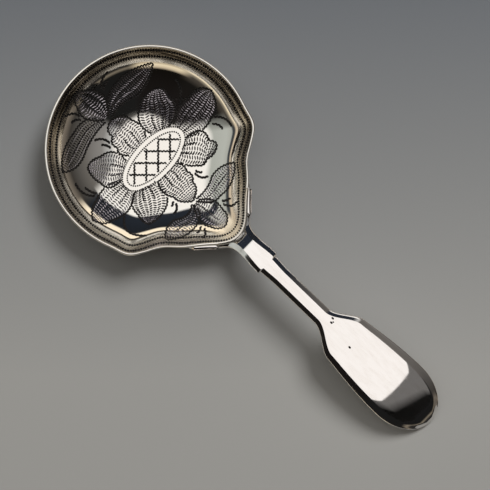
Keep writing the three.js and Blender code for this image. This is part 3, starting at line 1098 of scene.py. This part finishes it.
# the light of the ceiling and of the white card
ceilingLight = (1.02, 0.98, 0.95)
stageValues = {
    "cameraMiddle": (26.5, -0.46),
    "cameraDistance": 400,
    "sharpHeight": 8,
    "fieldWidth": 96.5,
    "sensorWidth": 36,
    "handleTurn": 44,
    "floorHalf": 8000,
    "floorRoughness": 0.6,
    "floorFar": (0.142, 0.152, 0.165),
    "floorNear": (0.33, 0.325, 0.31),
    "floorFade": (0.03, -0.045),
    "lampPower": 16.3,
    "lampSize": 0.6,
    "lampPlace": (0.5, 0.75, 1.05),
    # the card over the handle: its span along it, its half width at the start and where it has widened, its height,
    # where its white and its grey end and how blurred, how the white's end is bowed and the grey's slants, and
    # from where to where it darkens as it is seen aslant
    "cardSpan": (36, 118),
    "cardHalf": (1.5, 10),
    "cardWiden": 58,
    "cardHeight": 24,
    "cardWhiteEnd": (83, 0.5),
    "cardGreyEnd": (96, 5),
    "cardGrey": 0.15,
    "cardBow": 50.0,
    "cardSlant": -1.6,
    "cardAslant": (0.6, 0.5),
    # what the studio looks like from the spoon, by side: degrees from straight up, then its light;
    # the ramps that hold it reach this many degrees down
    "rampReach": 100.0,
    "leftSide": [(5, ceilingLight), (28, (1.0, 0.98, 0.95)), (36, (0.46, 0.48, 0.45)), (60, (0.5, 0.52, 0.49)),
                 (71, (0.44, 0.45, 0.42)), (74, (0.04, 0.05, 0.06)), (78, (0.06, 0.06, 0.06)),
                 (81, (0.7, 0.58, 0.44)), (90, (0.45, 0.37, 0.28))],
    "farSide": [(5, ceilingLight), (39, (1.02, 1.0, 0.97)), (42, (0.02, 0.025, 0.035)),
                (73, (0.015, 0.018, 0.023)), (76, (1.1, 0.97, 0.78)), (90, (1.2, 1.0, 0.74))],
    "cornerSide": [(5, ceilingLight), (44, (1.02, 1.0, 0.97)), (49, (0.75, 0.75, 0.72)),
                   (51, (0.02, 0.025, 0.035)), (57, (0.02, 0.025, 0.035)), (59, (0.6, 0.6, 0.57)),
                   (71, (0.42, 0.41, 0.38)), (75, (0.9, 0.79, 0.64)), (82, (0.85, 0.73, 0.56)),
                   (90, (0.75, 0.65, 0.5))],
    "rightSide": [(5, ceilingLight), (8, (0.5, 0.5, 0.5)), (14, (0.26, 0.25, 0.245)), (26, (0.2, 0.19, 0.185)),
                  (36, (0.15, 0.14, 0.13)), (58, (0.08, 0.075, 0.07)), (70, (0.05, 0.045, 0.04)),
                  (78, (0.14, 0.12, 0.1)), (84, (0.2, 0.17, 0.14)), (90, (0.4, 0.34, 0.27))],
    "handleSide": [(4, ceilingLight), (6, (0.1, 0.095, 0.09)), (9, (0.012, 0.012, 0.012)),
                   (72, (0.01, 0.01, 0.01)), (77, (0.2, 0.17, 0.13)), (81, (0.03, 0.027, 0.024)),
                   (90, (0.02, 0.02, 0.02))],
    "nearSide": [(5, ceilingLight), (7, (0.012, 0.01, 0.01)), (69, (0.006, 0.005, 0.004)),
                 (74, (0.65, 0.54, 0.39)), (79, (0.9, 0.77, 0.55)), (83, (0.5, 0.42, 0.3)), (87, (0.85, 0.72, 0.52)),
                 (90, (0.5, 0.42, 0.32))],
    "behindSide": [(5, ceilingLight), (7, (0.012, 0.01, 0.01)), (60, (0.01, 0.009, 0.008)),
                   (75, (0.07, 0.06, 0.05)), (80, (0.3, 0.26, 0.2)), (83, (1.0, 0.86, 0.64)),
                   (90, (1.1, 0.95, 0.7))],
    # where each side begins and ends, in degrees round from the right
    "farArc": (32, 135),
    "cornerArc": (121, 155),
    "rightArc": (-45, 42),
    "handleArc": (-107, -30),
    "nearArc": (-130, -82),
    "behindArc": (-160, -118),
    "arcBlur": 6,
}


def turnedParts(tree, kind):
    # the parts of a place or a direction as the camera sees them: it is turned with the handle
    turned = addNode(tree, "VectorRotate", rotation_type="Z_AXIS", Vector=addNode(tree, "TexCoord").outputs[kind],
                     Angle=-math.radians(stageValues["handleTurn"]))
    return addNode(tree, "SeparateXYZ", Vector=turned.outputs["Vector"]).outputs


def makeFloor():
    st = stageValues
    bm = bmesh.new()
    bmesh.ops.create_grid(bm, x_segments=1, y_segments=1, size=st["floorHalf"])
    paint, tree, shader = newMaterial("floorPaint", st["floorFar"], st["floorRoughness"], 0)
    # painted light: the floor is coloured darker far off and lighter towards the bottom of the view, standing in for
    # uneven light
    fade = rescale(tree, turnedParts(tree, "Object")["Y"], *st["floorFade"])
    setNode(shader, Base_Color=mixColours(tree, fade, st["floorFar"], st["floorNear"]))
    floor = toObject(bm, "floor", [paint])
    settle(floor)


def makeCamera():
    st = stageValues
    data = bpy.data.cameras.new("camera")
    data.sensor_width = st["sensorWidth"]
    data.lens = st["sensorWidth"] * st["cameraDistance"] / st["fieldWidth"]
    data.clip_start = 0.01
    camera = bpy.data.objects.new("camera", data)
    height = st["cameraDistance"] + st["sharpHeight"]
    camera.location = Vector((*st["cameraMiddle"], height)) * metre
    camera.rotation_euler = (0, 0, math.radians(st["handleTurn"]))
    bpy.context.scene.collection.objects.link(camera)
    bpy.context.scene.camera = camera


def makeStudio():
    # light from all round, told apart by direction: a white ceiling, darker sides and a warm horizon
    st = stageValues
    world = bpy.data.worlds.new("studio")
    bpy.context.scene.world = world
    world.use_nodes = True
    tree = world.node_tree
    look = turnedParts(tree, "Generated")
    fromUp = calculate(tree, "DEGREES", calculate(tree, "ARCCOSINE", look["Z"]))
    share = calculate(tree, "DIVIDE", fromUp, st["rampReach"])
    around = calculate(tree, "DEGREES", calculate(tree, "ARCTAN2", look["Y"], look["X"]))

    def sideLight(side):
        return addRamp(tree, share, [(degrees / st["rampReach"], light) for degrees, light in st[side + "Side"]])

    def past(degrees):
        return rescale(tree, around, degrees - st["arcBlur"], degrees + st["arcBlur"], smooth=True)

    light = sideLight("left")
    for side in ("far", "corner", "right", "handle", "near", "behind"):
        begin, end = st[side + "Arc"]
        held = calculate(tree, "SUBTRACT", past(begin), past(end))
        light = mixColours(tree, held, light, sideLight(side))
    setNode(tree.nodes["Background"], Color=light)


def makeCard():
    # a white card that only the silver mirrors: grey towards its end, and dark when it is seen aslant
    st = stageValues
    begin, end = st["cardSpan"]
    narrow, wide = st["cardHalf"]
    side = [(begin, narrow), (st["cardWiden"], wide), (end, wide)]
    bm = bmesh.new()
    face = bm.faces.new([bm.verts.new((x, y, st["cardHeight"]))
                         for x, y in [(x, -y) for x, y in side] + side[::-1]])
    face.normal_flip()
    paint, tree, shader = newMaterial("cardPaint", (0, 0, 0), 1, 0)
    place = addNode(tree, "SeparateXYZ", Vector=addNode(tree, "TexCoord").outputs["Object"]).outputs

    def before(limit, blur, shift):
        # bright up to a limit along the handle
        along = calculate(tree, "ADD", place["X"], shift)
        return rescale(tree, along, (limit + blur) * metre, (limit - blur) * metre)

    bowed = calculate(tree, "MULTIPLY", calculate(tree, "POWER", place["Y"], 2.0), st["cardBow"])
    slanted = calculate(tree, "MULTIPLY", place["Y"], st["cardSlant"])
    white = before(*st["cardWhiteEnd"], bowed)
    grey = calculate(tree, "MULTIPLY", before(*st["cardGreyEnd"], slanted), st["cardGrey"])
    aslant = addNode(tree, "LayerWeight", Blend=0.5).outputs["Facing"]
    straight = rescale(tree, aslant, *st["cardAslant"])
    light = calculate(tree, "MULTIPLY", calculate(tree, "MAXIMUM", white, grey), straight)
    setNode(shader, Emission_Strength=light, Emission_Color=ceilingLight)
    card = toObject(bm, "card", [paint])
    settle(card)
    card.visible_camera = False
    card.visible_diffuse = False
    card.visible_shadow = False


def makeLamp():
    # one soft lamp for the floor and its shadow; the silver mirrors only the studio
    st = stageValues
    data = bpy.data.lights.new("soft_lamp", "AREA")
    data.shape = "DISK"
    data.size = st["lampSize"]
    data.energy = st["lampPower"]
    lamp = bpy.data.objects.new("soft_lamp", data)
    turn = Matrix.Rotation(math.radians(st["handleTurn"]), 4, "Z")
    lamp.location = turn @ Vector(st["lampPlace"])
    lamp.rotation_euler = lamp.location.to_track_quat("Z", "Y").to_euler()
    lamp.visible_glossy = False
    lamp.visible_camera = False
    bpy.context.scene.collection.objects.link(lamp)


makeFloor()
makeCamera()
makeStudio()
makeCard()
makeLamp()
bpy.context.scene.view_settings.view_transform = "Standard"
print("floor, camera and lights made")
